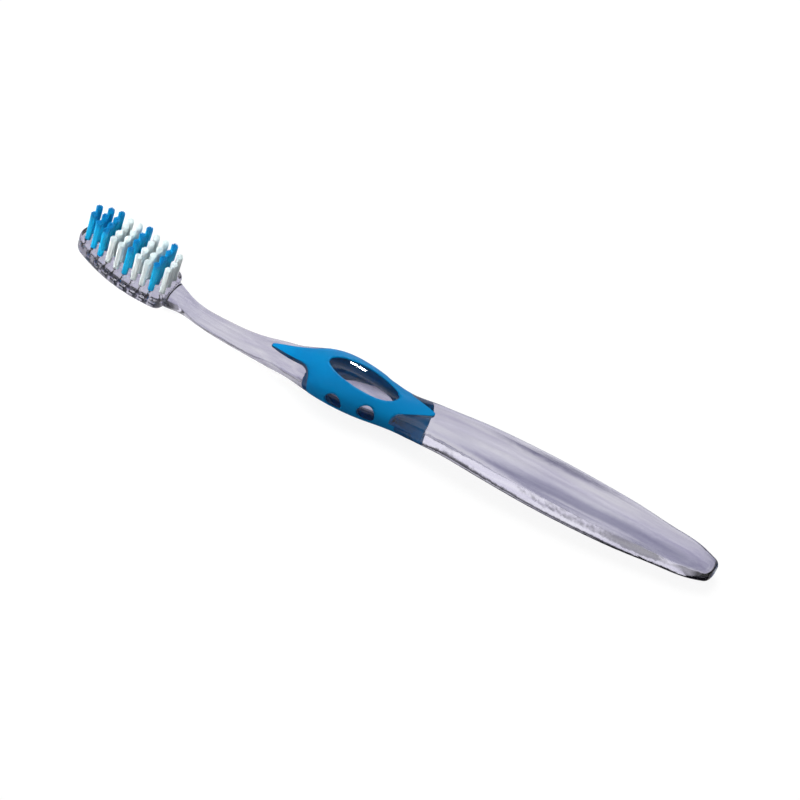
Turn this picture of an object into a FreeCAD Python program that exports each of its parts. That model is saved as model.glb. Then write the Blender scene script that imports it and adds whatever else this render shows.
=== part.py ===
import FreeCAD
import Part
import math
import os
import Sketcher

# A manual toothbrush with a clear handle, a blue rubber grip and stapled tufts.
# The brush is built with its toe at x = 0 and its tail at +x, bristles up, standing on z = 0.
# Each sub-part's Placement then brings the middle of the length to the origin.
# Lengths are in millimetres and angles in degrees.

SIZES = {
    # Lengths of the four stretches, from toe to tail
    "head_length": 30.0,
    "neck_length": 29.9,
    "grip_length": 48.3,
    "handle_length": 81.1,
    # Head plate
    "plate_length": 28.9,
    "head_width": 13.6,
    "head_thickness": 4.8,
    "head_tilt": 10.5,
    "toe_lift": 9.65,
    "nose_radius": 4.2,
    "widest_from_toe": 18.4,
    "heel_corner_radius": 2.6,
    "lower_rim_radius": 1.2,
    "upper_rim_radius": 0.6,
    # Tufts, their holes and the metal anchors
    "first_row_from_toe": 2.65,
    "row_pitch": 2.73,
    "tuft_pitch": 2.8,
    "tuft_diameter": 1.7,
    "tuft_tip_diameter": 2.0,
    "tuft_clearance": 0.03,
    "hole_depth": 3.0,
    "blue_bristle_length": 10.5,
    "white_bristle_length": 9.6,
    "anchor_width": 2.1,
    "anchor_thickness": 0.25,
    "anchor_height": 1.3,
    "fold_thickness": 0.5,
    # Neck, grip and palm sections
    "neck_width": 5.2,
    "neck_thickness": 4.9,
    "heel_lift": 5.9,
    "grip_width": 15.5,
    "grip_thickness": 12.0,
    "palm_width": 15.8,
    "palm_thickness": 10.4,
    "arch_lift": 1.9,
    "tail_rounding": 2.1,
    # Rubber sleeve and its windows
    "sleeve_wall": 1.3,
    "window_recess": 0.25,
    "front_tongue_width": 7.4,
    "rear_tongue_width": 8.6,
    "sole_tongue_width": 11.0,
    "front_root_radius": 5.5,
    "rear_root_radius": 3.4,
    "front_tip_radius": 0.5,
    "rear_tip_radius": 0.7,
    "sole_nose_width": 12.0,
    "sole_nose_radius": 3.0,
    "sole_tongue_radius": 4.6,
    "thumb_window_width": 7.6,
    "sole_window_width": 8.2,
    "side_window_diameter": 5.0,
    # One overrun serves every cut
    "overrun": 2.0,
}

# How round a section is: the side arc's radius as a share of half the thickness
NECK_SHOULDER_SHARE = 0.85
BODY_SHOULDER_SHARE = 0.8
# The underside's height at the middle of the grip, as a share of the arch's lift
MID_GRIP_LIFT_SHARE = 0.065

# Lengths along the sleeve, as shares of the grip's length: its two tongues, the blunt nose under
# the front one, how far the round tongue ends short of the rear one, the place of the windows from
# the front tip, the two oval windows and the pitch of the round ones
FRONT_TONGUE_SHARE = 0.344
REAR_TONGUE_SHARE = 0.232
SOLE_NOSE_SHARE = 0.06
SOLE_SETBACK_SHARE = 0.025
WINDOW_PLACE_SHARE = 0.5685
THUMB_WINDOW_SHARE = 0.4265
SOLE_WINDOW_SHARE = 0.46
SIDE_PITCH_SHARE = 0.1885

# Sections of each stretch: place along the stretch, then width, thickness and underside height,
# as shares of that stretch's own named sizes.
NECK_SHARES = [
    (-0.22, 1.80, 0.72, 1.12),
    (-0.09, 1.84, 0.84, 0.88),
    (0.04, 1.38, 0.92, 0.64),
    (0.16, 1.04, 0.98, 0.42),
    (0.26, 1.00, 1.00, 0.24),
    (0.39, 1.06, 1.02, 0.12),
    (0.59, 1.15, 1.08, 0.03),
    (0.79, 1.29, 1.16, 0.00),
    (0.93, 1.48, 1.27, 0.02),
]
GRIP_SHARES = [
    (0.04, 0.575, 0.583, 0.167),
    (0.12, 0.622, 0.660, 0.185),
    (0.20, 0.732, 0.768, 0.185),
    (0.29, 0.880, 0.905, 0.160),
    (0.37, 0.973, 0.979, 0.144),
    (0.49, 1.000, 1.000, 0.065),
    (0.62, 0.923, 0.934, 0.070),
    (0.72, 0.819, 0.814, 0.284),
    (0.82, 0.767, 0.723, 0.578),
    (0.95, 0.815, 0.714, 0.870),
]
PALM_SHARES = [
    (0.04, 0.82, 0.865, 0.96),
    (0.14, 0.89, 0.93, 0.86),
    (0.26, 0.96, 0.98, 0.56),
    (0.42, 1.00, 1.00, 0.20),
    (0.58, 0.96, 0.97, 0.01),
    (0.71, 0.88, 0.89, 0.05),
    (0.83, 0.745, 0.77, 0.24),
    (0.93, 0.62, 0.66, 0.40),
    (0.965, 0.51, 0.55, 0.60),
    (1.00, 0.39, 0.43, 0.93),
]
# The core under the sleeve takes its sections from these stretches of the tables above
CORE_NECK_SHARES = NECK_SHARES[-2:]
CORE_PALM_SHARES = PALM_SHARES[:2]

# Rows from toe to heel: colour, number of tufts, and spacing as a share of the tuft pitch
ROW_SHARES = [
    ("blue", 2, 0.96),
    ("blue", 3, 0.96),
    ("blue", 4, 0.86),
    ("white", 4, 0.93),
    ("white", 4, 1.00),
    ("blue", 4, 1.02),
    ("white", 4, 1.01),
    ("white", 4, 1.00),
    ("blue", 4, 0.96),
    ("white", 3, 0.96),
]

OVERALL = "(Sizes.head_length + Sizes.neck_length + Sizes.grip_length + Sizes.handle_length)"
# The toe's rounded lower rim sits this far behind the corner it is cut from
TOE_SETBACK = "(Sizes.lower_rim_radius * (cos(Sizes.head_tilt) + sin(Sizes.head_tilt) - 1))"
TO_MIDDLE = "-(%s + %s) / 2" % (OVERALL, TOE_SETBACK)
NECK_START = "Sizes.head_length"
GRIP_START = "(Sizes.head_length + Sizes.neck_length)"
PALM_START = "(Sizes.head_length + Sizes.neck_length + Sizes.grip_length)"
GRIP_MID_HEIGHT = "(Sizes.arch_lift * %s + Sizes.grip_thickness / 2)" % MID_GRIP_LIFT_SHARE
FRONT_TONGUE = "(Sizes.grip_length * %s)" % FRONT_TONGUE_SHARE
REAR_TONGUE = "(Sizes.grip_length * %s)" % REAR_TONGUE_SHARE
SOLE_NOSE = "(Sizes.grip_length * %s)" % SOLE_NOSE_SHARE
SOLE_END = "(%s - Sizes.grip_length * %s)" % (PALM_START, SOLE_SETBACK_SHARE)
WINDOW_PLACE = "(%s + Sizes.grip_length * %s)" % (GRIP_START, WINDOW_PLACE_SHARE)
THUMB_WINDOW_LENGTH = "(Sizes.grip_length * %s)" % THUMB_WINDOW_SHARE
SOLE_WINDOW_LENGTH = "(Sizes.grip_length * %s)" % SOLE_WINDOW_SHARE
SIDE_WINDOW_PITCH = "(Sizes.grip_length * %s)" % SIDE_PITCH_SHARE

doc = FreeCAD.newDocument("toothbrush")


def make_sheet():
    """Write every driving dimension into one sheet, with its name as the alias."""
    sheet = doc.addObject("Spreadsheet::Sheet", "Sizes")
    for row, (name, number) in enumerate(SIZES.items(), start=1):
        sheet.set("A%d" % row, name)
        sheet.set("B%d" % row, str(number))
        sheet.setAlias("B%d" % row, name)
    doc.recompute()
    return sheet


sheet = make_sheet()


def value(expression):
    """Work out an expression on the sheet as a plain number."""
    result = sheet.evalExpression(expression)
    return float(getattr(result, "Value", result))


def plane(body, role):
    """Find one of a body's own origin planes by its role."""
    for feature in body.Origin.OriginFeatures:
        if feature.Role == role:
            return feature
    raise RuntimeError("no plane " + role)


def add_sketch(body, name, role):
    """Put an empty sketch on one of the body's origin planes."""
    sketch = body.newObject("Sketcher::SketchObject", name)
    sketch.AttachmentSupport = [(plane(body, role), "")]
    sketch.MapMode = "FlatFace"
    return sketch


def bind(sketch, constraint, expression):
    """Add a dimension to a sketch and bind it to the sheet."""
    index = sketch.addConstraint(constraint)
    sketch.setExpression("Constraints[%d]" % index, expression)
    return index


def arc(centre_x, centre_y, radius, start, end):
    """Make an arc of a circle between two angles given in degrees."""
    centre = FreeCAD.Vector(centre_x, centre_y, 0)
    circle = Part.Circle(centre, FreeCAD.Vector(0, 0, 1), radius)
    return Part.ArcOfCircle(circle, math.radians(start), math.radians(end))


def section(body, name, along, width, thickness, lift, shoulder):
    """Draw one four-centred oval section across the length.

    The side arcs have the radius `side`, and the flatter top and bottom arcs meet them in tangency.
    """
    sketch = add_sketch(body, name, "YZ_Plane")
    sketch.setExpression("AttachmentOffset.Base.z", along)
    half = "(%s) / 2" % thickness
    side = "(%s) * %s" % (half, shoulder)
    reach = "((%s) / 2 - %s)" % (width, side)
    middle = "(%s + %s)" % (lift, half)
    crown = "((%s ^ 2 + (%s) ^ 2 - (%s) ^ 2) / (2 * (%s - %s)))" % (reach, half, side, half, side)
    r_side, x_side, z_mid, r_top = value(side), value(reach), value(middle), value(crown)
    z_half = value(half)
    turn = math.degrees(math.atan2(r_top - z_half, x_side))
    shapes = [
        arc(x_side, z_mid, r_side, -turn, turn),
        arc(0, z_mid + z_half - r_top, r_top, turn, 180 - turn),
        arc(-x_side, z_mid, r_side, 180 - turn, 180 + turn),
        arc(0, z_mid - z_half + r_top, r_top, 180 + turn, 360 - turn),
    ]
    for shape in shapes:
        sketch.addGeometry(shape)
    for first, second in ((0, 1), (1, 2), (2, 3), (3, 0)):
        sketch.addConstraint(Sketcher.Constraint("Tangent", first, 2, second, 1))
    bind(sketch, Sketcher.Constraint("DistanceX", -1, 1, 0, 3, x_side), reach)
    bind(sketch, Sketcher.Constraint("DistanceX", 2, 3, -1, 1, x_side), reach)
    bind(sketch, Sketcher.Constraint("DistanceY", -1, 1, 0, 3, z_mid), middle)
    bind(sketch, Sketcher.Constraint("DistanceY", -1, 1, 2, 3, z_mid), middle)
    bind(sketch, Sketcher.Constraint("Radius", 0, r_side), side)
    bind(sketch, Sketcher.Constraint("Radius", 2, r_side), side)
    bind(sketch, Sketcher.Constraint("Radius", 1, r_top), crown)
    bind(sketch, Sketcher.Constraint("Radius", 3, r_top), crown)
    return sketch


def stretch(body, prefix, table, start, length, width, thickness, lift, shoulder, inset):
    """Draw the sections of one stretch, drawn in all round by `inset`."""
    sketches = []
    for number, (along, wide, thick, high) in enumerate(table, start=1):
        sketches.append(section(
            body,
            "%s_section_%d" % (prefix, number),
            "%s + Sizes.%s * %s" % (start, length, along),
            "Sizes.%s * %s - 2 * %s" % (width, wide, inset),
            "Sizes.%s * %s - 2 * %s" % (thickness, thick, inset),
            "Sizes.%s * %s + %s" % (lift, high, inset),
            shoulder,
        ))
    return sketches


def loft(body, name, neck, grip, palm, inset):
    """Loft through the sections of neck, grip and palm."""
    sketches = stretch(body, name + "_neck", neck, NECK_START, "neck_length", "neck_width",
                       "neck_thickness", "heel_lift", NECK_SHOULDER_SHARE, inset)
    sketches += stretch(body, name + "_grip", grip, GRIP_START, "grip_length", "grip_width",
                        "grip_thickness", "arch_lift", BODY_SHOULDER_SHARE, inset)
    sketches += stretch(body, name + "_palm", palm, PALM_START, "handle_length", "palm_width",
                        "palm_thickness", "arch_lift", BODY_SHOULDER_SHARE, inset)
    doc.recompute()
    feature = body.newObject("PartDesign::AdditiveLoft", name + "_loft")
    feature.Profile = (sketches[0], [""])
    feature.Sections = [(sketch, [""]) for sketch in sketches[1:]]
    feature.Ruled = False
    body.Tip = feature
    doc.recompute()
    return feature


def tilt_sketch(sketch, height):
    """Lay a sketch in the head's own tilted plane, `height` above its underside."""
    sketch.AttachmentOffset = FreeCAD.Placement(
        FreeCAD.Vector(0, 0, 0), FreeCAD.Rotation(FreeCAD.Vector(0, 1, 0), SIZES["head_tilt"]))
    sketch.setExpression("AttachmentOffset.Rotation.Angle", "Sizes.head_tilt")
    sketch.setExpression("AttachmentOffset.Base.x", "%s * sin(Sizes.head_tilt)" % height)
    sketch.setExpression("AttachmentOffset.Base.z",
                         "Sizes.toe_lift + %s * cos(Sizes.head_tilt)" % height)


def head_plate(body):
    """Pad the head's outline: a nose arc, two long side arcs and a straight heel."""
    sketch = add_sketch(body, "head_outline", "XY_Plane")
    tilt_sketch(sketch, "0")
    half = SIZES["head_width"] / 2
    nose = SIZES["nose_radius"]
    widest = SIZES["widest_from_toe"]
    heel = SIZES["plate_length"]
    flank = ("((Sizes.widest_from_toe - Sizes.nose_radius) ^ 2 + (Sizes.head_width / 2) ^ 2"
             " - Sizes.nose_radius ^ 2) / (2 * (Sizes.head_width / 2 - Sizes.nose_radius))")
    r_flank = value(flank)
    lean = math.degrees(math.atan2(r_flank - half, widest - nose))
    fall = math.degrees(math.acos((heel - widest) / r_flank))
    sketch.addGeometry(arc(nose, 0, nose, 180 - lean, 180 + lean))
    sketch.addGeometry(arc(widest, half - r_flank, r_flank, fall, 180 - lean))
    sketch.addGeometry(arc(widest, r_flank - half, r_flank, 180 + lean, 360 - fall))
    y_heel = half - r_flank + r_flank * math.sin(math.radians(fall))
    sketch.addGeometry(Part.LineSegment(FreeCAD.Vector(heel, -y_heel, 0),
                                        FreeCAD.Vector(heel, y_heel, 0)))
    sketch.addConstraint(Sketcher.Constraint("Tangent", 1, 2, 0, 1))
    sketch.addConstraint(Sketcher.Constraint("Tangent", 0, 2, 2, 1))
    sketch.addConstraint(Sketcher.Constraint("Coincident", 2, 2, 3, 1))
    sketch.addConstraint(Sketcher.Constraint("Coincident", 3, 2, 1, 1))
    sketch.addConstraint(Sketcher.Constraint("Vertical", 3))
    sketch.addConstraint(Sketcher.Constraint("PointOnObject", 0, 3, -1))
    bind(sketch, Sketcher.Constraint("DistanceX", -1, 1, 0, 3, nose), "Sizes.nose_radius")
    bind(sketch, Sketcher.Constraint("Radius", 0, nose), "Sizes.nose_radius")
    bind(sketch, Sketcher.Constraint("DistanceX", -1, 1, 1, 3, widest), "Sizes.widest_from_toe")
    bind(sketch, Sketcher.Constraint("DistanceX", -1, 1, 2, 3, widest), "Sizes.widest_from_toe")
    bind(sketch, Sketcher.Constraint("Radius", 1, r_flank), flank)
    bind(sketch, Sketcher.Constraint("Radius", 2, r_flank), flank)
    bind(sketch, Sketcher.Constraint("DistanceX", -1, 1, 3, 1, heel), "Sizes.plate_length")
    pad = body.newObject("PartDesign::Pad", "head_plate")
    pad.Profile = sketch
    pad.setExpression("Length", "Sizes.head_thickness")
    body.Tip = pad
    doc.recompute()
    return pad


def edges_where(shape, test):
    """Name the edges of a shape that pass a test."""
    return ["Edge%d" % number for number, edge in enumerate(shape.Edges, start=1) if test(edge)]


def round_edges(body, name, feature, edges, radius):
    """Fillet edges of a body's newest feature with a radius from the sheet."""
    fillet = body.newObject("PartDesign::Fillet", name)
    fillet.Base = (feature, edges)
    fillet.setExpression("Radius", "Sizes." + radius)
    body.Tip = fillet
    doc.recompute()
    return fillet


def head_normal():
    """The direction square to the head plate."""
    tilt = math.radians(SIZES["head_tilt"])
    return FreeCAD.Vector(math.sin(tilt), 0, math.cos(tilt))


def round_head(body, pad):
    """Round the heel's corners, then the plate's lower and upper rims."""
    normal = head_normal()
    foot = FreeCAD.Vector(0, 0, SIZES["toe_lift"])

    def stands_up(edge):
        if not isinstance(edge.Curve, Part.Line):
            return False
        along = edge.tangentAt(edge.FirstParameter)
        return abs(along.dot(normal)) > 0.99 and edge.CenterOfMass.x > value("Sizes.plate_length / 2")

    def rim(edge, upper):
        ends = (edge.FirstParameter, edge.LastParameter)
        flat = all(abs(edge.tangentAt(place).dot(normal)) < 0.01 for place in ends)
        height = (edge.CenterOfMass - foot).dot(normal)
        return flat and (height > value("Sizes.head_thickness / 2")) == upper

    corners = round_edges(body, "heel_corners", pad, edges_where(pad.Shape, stands_up),
                          "heel_corner_radius")
    lower = round_edges(body, "lower_rim", corners,
                        edges_where(corners.Shape, lambda edge: rim(edge, False)),
                        "lower_rim_radius")
    round_edges(body, "upper_rim", lower,
                edges_where(lower.Shape, lambda edge: rim(edge, True)),
                "upper_rim_radius")


def row_place(row):
    """The expression for a row's distance from the toe, along the head."""
    return "(Sizes.first_row_from_toe + Sizes.row_pitch * %d)" % row


def tuft_place(count, tuft, spacing):
    """The expression for a tuft's distance from the middle of the head."""
    return "(Sizes.tuft_pitch * %s * (%d - %s / 2))" % (spacing, tuft, count - 1)


def drill_head(body):
    """Cut one blind hole for each tuft into the head's upper face."""
    sketch = add_sketch(body, "tuft_holes", "XY_Plane")
    tilt_sketch(sketch, "Sizes.head_thickness")
    radius = "Sizes.tuft_diameter / 2 + Sizes.tuft_clearance"
    for row, (colour, count, spacing) in enumerate(ROW_SHARES):
        for tuft in range(count):
            along = row_place(row)
            across = tuft_place(count, tuft, spacing)
            centre = FreeCAD.Vector(value(along), value(across), 0)
            hole = sketch.addGeometry(
                Part.Circle(centre, FreeCAD.Vector(0, 0, 1), value(radius)))
            bind(sketch, Sketcher.Constraint("DistanceX", -1, 1, hole, 3, centre.x), along)
            bind(sketch, Sketcher.Constraint("DistanceY", -1, 1, hole, 3, centre.y), across)
            bind(sketch, Sketcher.Constraint("Radius", hole, value(radius)), radius)
    before = body.Shape.Volume
    pocket = body.newObject("PartDesign::Pocket", "tuft_pockets")
    pocket.Profile = sketch
    pocket.setExpression("Length", "Sizes.hole_depth")
    body.Tip = pocket
    doc.recompute()
    print("holes took %.1f mm3 of the head" % (before - body.Shape.Volume))


def handle_blank():
    """The whole brush body as if the sleeve's space were still plastic."""
    body = doc.addObject("PartDesign::Body", "handle_blank")
    pad = head_plate(body)
    round_head(body, pad)
    feature = loft(body, "outer", NECK_SHARES, GRIP_SHARES, PALM_SHARES, "0")
    end = value(OVERALL)
    slack = SIZES["overrun"] / 100
    at_tail = edges_where(feature.Shape, lambda edge: edge.BoundBox.XMin > end - slack)
    round_edges(body, "tail_end", feature, at_tail, "tail_rounding")
    drill_head(body)
    return body


def inner_form(name, inset):
    """The plastic inside the sleeve, drawn in from the outer form by `inset`."""
    body = doc.addObject("PartDesign::Body", name)
    loft(body, name, CORE_NECK_SHARES, GRIP_SHARES, CORE_PALM_SHARES, inset)
    return body


def outline(sketch, corners):
    """Draw a closed outline through corners and dimension each corner from the axes.

    Each corner is a pair of expressions, along the length and across it.
    """
    points = [FreeCAD.Vector(value(along), value(across), 0) for along, across in corners]
    lines = []
    for start, end in zip(points, points[1:] + points[:1]):
        lines.append(sketch.addGeometry(Part.LineSegment(start, end)))
    for line, following in zip(lines, lines[1:] + lines[:1]):
        sketch.addConstraint(Sketcher.Constraint("Coincident", line, 2, following, 1))
    for line, point, (along, across) in zip(lines, points, corners):
        bind(sketch, Sketcher.Constraint("DistanceX", -1, 1, line, 1, point.x), along)
        if point.y == 0:
            sketch.addConstraint(Sketcher.Constraint("PointOnObject", line, 1, -1))
        else:
            bind(sketch, Sketcher.Constraint("DistanceY", -1, 1, line, 1, point.y), across)


def upright_edges(shape, low, high, on_axis):
    """Name the upright edges between two places, on the middle line or off it."""
    slack = SIZES["overrun"] / 100

    def wanted(edge):
        box = edge.BoundBox
        upright = box.ZLength > box.XLength + box.YLength
        placed = low - slack < box.XMin and box.XMax < high + slack
        inside = abs(box.YMin) < value("Sizes.grip_width / 2")
        return upright and placed and inside and (abs(box.YMin) < slack) == on_axis

    return edges_where(shape, wanted)


def tip_loss(end, length):
    """How far rounding a tongue's tip draws it in from its sharp corner."""
    lean = "atan(Sizes.%s_tongue_width / 2 / %s)" % (end, length)
    return "(Sizes.%s_tip_radius * (1 / sin(%s) - 1))" % (end, lean)


def zone_pad(name, corners, upper):
    """Raise a plan of the sleeve above the grip's mid height, or drop it below."""
    body = doc.addObject("PartDesign::Body", name)
    sketch = add_sketch(body, name + "_plan", "XY_Plane")
    sketch.setExpression("AttachmentOffset.Base.z", GRIP_MID_HEIGHT)
    outline(sketch, corners)
    doc.recompute()
    pad = body.newObject("PartDesign::Pad", name + "_space")
    pad.Profile = sketch
    pad.setExpression("Length", "Sizes.grip_thickness + Sizes.overrun")
    pad.Reversed = not upper
    body.Tip = pad
    doc.recompute()
    return body, pad


def grip_zone():
    """The sleeve's plan: two pointed tongues above, a blunt nose and a round tongue below."""
    reach = "(Sizes.grip_width / 2 + Sizes.overrun)"
    front_corner = "(%s - %s)" % (GRIP_START, tip_loss("front", FRONT_TONGUE))
    rear_corner = "(%s + %s)" % (PALM_START, tip_loss("rear", REAR_TONGUE))
    front_root = "(%s + %s)" % (front_corner, FRONT_TONGUE)
    rear_root = "(%s - %s)" % (rear_corner, REAR_TONGUE)
    front = value(front_corner)
    rear = value(rear_corner)
    middle = (front + rear) / 2
    upper, pad = zone_pad("upper_zone", [
        (front_corner, "0"),
        (front_root, "-Sizes.front_tongue_width / 2"),
        (front_root, "-" + reach),
        (rear_root, "-" + reach),
        (rear_root, "-Sizes.rear_tongue_width / 2"),
        (rear_corner, "0"),
        (rear_root, "Sizes.rear_tongue_width / 2"),
        (rear_root, reach),
        (front_root, reach),
        (front_root, "Sizes.front_tongue_width / 2"),
    ], True)
    flare = round_edges(upper, "front_roots", pad, upright_edges(pad.Shape, front, middle, False),
                        "front_root_radius")
    roots = round_edges(upper, "rear_roots", flare, upright_edges(flare.Shape, middle, rear, False),
                        "rear_root_radius")
    tip = round_edges(upper, "front_tongue_tip", roots,
                      upright_edges(roots.Shape, front, middle, True), "front_tip_radius")
    round_edges(upper, "rear_tongue_tip", tip, upright_edges(tip.Shape, middle, rear, True),
                "rear_tip_radius")

    nose = "(%s - %s)" % (front_root, SOLE_NOSE)
    lower, pad = zone_pad("lower_zone", [
        (nose, "0"),
        (front_root, "-Sizes.sole_nose_width / 2"),
        (front_root, "-" + reach),
        (rear_root, "-" + reach),
        (rear_root, "-Sizes.sole_tongue_width / 2"),
        (SOLE_END, "-Sizes.sole_tongue_width / 2"),
        (SOLE_END, "Sizes.sole_tongue_width / 2"),
        (rear_root, "Sizes.sole_tongue_width / 2"),
        (rear_root, reach),
        (front_root, reach),
        (front_root, "Sizes.sole_nose_width / 2"),
    ], False)
    root = value(rear_root)
    end = value(SOLE_END)
    roots = round_edges(lower, "sole_roots", pad, upright_edges(pad.Shape, root, root, False),
                        "rear_root_radius")
    tongue = round_edges(lower, "sole_tongue", roots, upright_edges(roots.Shape, end, end, False),
                         "sole_tongue_radius")
    round_edges(lower, "sole_nose", tongue, upright_edges(tongue.Shape, front, middle, True),
                "sole_nose_radius")
    return combine("Part::Fuse", "grip_zone", upper, lower)


def oval_sketch(body, name, length, width):
    """Draw an oval window on the plan, centred on the grip's windows, at the grip's mid height."""
    sketch = add_sketch(body, name, "XY_Plane")
    sketch.setExpression("AttachmentOffset.Base.z", GRIP_MID_HEIGHT)
    centre = FreeCAD.Vector(value(WINDOW_PLACE), 0, 0)
    major = value(length) / 2
    minor = SIZES[width] / 2
    ellipse = sketch.addGeometry(Part.Ellipse(centre, major, minor))
    sketch.exposeInternalGeometry(ellipse)
    sketch.addConstraint(Sketcher.Constraint("PointOnObject", ellipse, 3, -1))
    bind(sketch, Sketcher.Constraint("DistanceX", -1, 1, ellipse, 3, centre.x), WINDOW_PLACE)
    bind(sketch, Sketcher.Constraint("Distance", ellipse + 1, 2 * major), length)
    bind(sketch, Sketcher.Constraint("Distance", ellipse + 2, 2 * minor), "Sizes." + width)
    sketch.addConstraint(Sketcher.Constraint("Horizontal", ellipse + 1))
    return sketch


def grip_windows():
    """The openings in the sleeve: an oval above, an oval below and two round ones each side."""
    body = doc.addObject("PartDesign::Body", "grip_windows")
    pads = []
    for name, length, width, down in (
            ("thumb_window", THUMB_WINDOW_LENGTH, "thumb_window_width", False),
            ("sole_window", SOLE_WINDOW_LENGTH, "sole_window_width", True)):
        sketch = oval_sketch(body, name + "_plan", length, width)
        pad = body.newObject("PartDesign::Pad", name)
        pad.Profile = sketch
        pad.setExpression("Length", "Sizes.grip_thickness / 2 + Sizes.overrun")
        pad.Reversed = down
        body.Tip = pad
        doc.recompute()
        pads.append(pad)
    sketch = add_sketch(body, "side_window_plan", "XZ_Plane")
    for side in (-1, 1):
        along = "%s + %d * %s / 2" % (WINDOW_PLACE, side, SIDE_WINDOW_PITCH)
        centre = FreeCAD.Vector(value(along), value(GRIP_MID_HEIGHT), 0)
        radius = SIZES["side_window_diameter"] / 2
        hole = sketch.addGeometry(Part.Circle(centre, FreeCAD.Vector(0, 0, 1), radius))
        bind(sketch, Sketcher.Constraint("DistanceX", -1, 1, hole, 3, centre.x), along)
        bind(sketch, Sketcher.Constraint("DistanceY", -1, 1, hole, 3, centre.y), GRIP_MID_HEIGHT)
        bind(sketch, Sketcher.Constraint("Diameter", hole, 2 * radius),
             "Sizes.side_window_diameter")
    pad = body.newObject("PartDesign::Pad", "side_windows")
    pad.Profile = sketch
    pad.Midplane = True
    pad.setExpression("Length", "Sizes.grip_width + 2 * Sizes.overrun")
    body.Tip = pad
    doc.recompute()
    return body


def combine(kind, name, first, second):
    """Join, cut or intersect two objects."""
    result = doc.addObject(kind, name)
    result.Base = first
    result.Tool = second
    doc.recompute()
    return result


def centre_on_length(part):
    """Bring the middle of the brush's length to the origin."""
    part.setExpression("Placement.Base.x", TO_MIDDLE)


def stand_on_head(part, shift):
    """Carry a piece drawn square to the head plate onto the tilted head."""
    part.Placement = FreeCAD.Placement(
        FreeCAD.Vector(0, 0, 0), FreeCAD.Rotation(FreeCAD.Vector(0, 1, 0), SIZES["head_tilt"]))
    part.setExpression("Placement.Rotation.Angle", "Sizes.head_tilt")
    part.setExpression("Placement.Base.x", shift)
    part.setExpression("Placement.Base.z", "Sizes.toe_lift")


def anchor(row, tuft, count, spacing):
    """One metal plate across the bottom of a tuft's hole."""
    box = doc.addObject("Part::Box", "anchor_%d_%d" % (row + 1, tuft + 1))
    box.setExpression("Length", "Sizes.anchor_thickness")
    box.setExpression("Width", "Sizes.anchor_width")
    box.setExpression("Height", "Sizes.anchor_height")
    box.setExpression("Placement.Base.x", "%s - Sizes.anchor_thickness / 2" % row_place(row))
    box.setExpression("Placement.Base.y",
                      "%s - Sizes.anchor_width / 2" % tuft_place(count, tuft, spacing))
    box.setExpression("Placement.Base.z",
                      "Sizes.head_thickness - Sizes.hole_depth + Sizes.fold_thickness")
    return box


def tuft(row, number, count, spacing, colour, plate):
    """One tuft: a round bundle, folded round its anchor in the hole, that fans out above it."""
    name = "%s_tuft_row%d_%d" % (colour, row + 1, number + 1)
    bundle = doc.addObject("Part::Cylinder", name + "_bundle")
    bundle.setExpression("Radius", "Sizes.tuft_diameter / 2")
    bundle.setExpression("Height", "Sizes.hole_depth")
    bundle.setExpression("Placement.Base.z", "Sizes.head_thickness - Sizes.hole_depth")
    fan = doc.addObject("Part::Cone", name + "_fan")
    fan.setExpression("Radius1", "Sizes.tuft_diameter / 2")
    fan.setExpression("Radius2", "Sizes.tuft_tip_diameter / 2")
    fan.setExpression("Height", "Sizes.%s_bristle_length" % colour)
    fan.setExpression("Placement.Base.z", "Sizes.head_thickness")
    for piece in (bundle, fan):
        piece.setExpression("Placement.Base.x", row_place(row))
        piece.setExpression("Placement.Base.y", tuft_place(count, number, spacing))
    folded = combine("Part::Cut", name, combine("Part::Fuse", name + "_whole", bundle, fan), plate)
    stand_on_head(folded, TO_MIDDLE)
    return folded


def group(name, members):
    """Gather separate solids into one object."""
    compound = doc.addObject("Part::Compound", name)
    compound.Links = members
    return compound


def main():
    """Build every sub-part, check them all and write them out."""
    parts = {}
    plates = []
    for row, (colour, count, spacing) in enumerate(ROW_SHARES):
        row_plates = []
        for number in range(count):
            plate = anchor(row, number, count, spacing)
            row_plates.append(plate)
            piece = tuft(row, number, count, spacing, colour, plate)
            parts[piece.Name] = piece
        name = "anchors_row%d" % (row + 1)
        parts[name] = group(name, row_plates)
        stand_on_head(parts[name], TO_MIDDLE)
        plates += row_plates
    seats = group("anchor_seats", plates)
    stand_on_head(seats, "0")

    blank = handle_blank()
    zone = grip_zone()
    windows = grip_windows()
    core = inner_form("core", "Sizes.sleeve_wall")
    island_form = inner_form("island_form", "Sizes.window_recess")
    islands = combine("Part::Common", "islands", island_form, windows)
    inside = combine("Part::Fuse", "inside_sleeve", core, islands)
    space = combine("Part::Cut", "rubber_space", zone, inside)
    moulding = combine("Part::Cut", "moulding", blank, space)
    parts["handle"] = combine("Part::Cut", "handle", moulding, seats)
    centre_on_length(parts["handle"])

    wrap = combine("Part::Common", "sleeve_blank", blank, zone)
    hollow = combine("Part::Cut", "sleeve_shell", wrap, core)
    parts["grip_sleeve"] = combine("Part::Cut", "grip_sleeve", hollow, windows)
    centre_on_length(parts["grip_sleeve"])

    doc.recompute()
    for item in doc.Objects:
        if "Invalid" in item.State or "Error" in item.State:
            raise RuntimeError("failed: %s %s" % (item.Name, item.State))
    for name, piece in parts.items():
        piece.Label = name
        if piece.Shape.isNull() or not piece.Shape.isValid():
            raise RuntimeError("bad shape: " + name)
    os.makedirs("parts", exist_ok=True)
    for name, piece in parts.items():
        piece.Shape.exportStep("parts/%s.step" % name)
        if not name.count("tuft"):
            box = piece.Shape.BoundBox
            print("%s: %d solid, %.1f mm3, x %.2f to %.2f, y %.2f, z %.2f to %.2f" % (
                name, len(piece.Shape.Solids), piece.Shape.Volume, box.XMin, box.XMax,
                box.YLength, box.ZMin, box.ZMax))


main()
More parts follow.
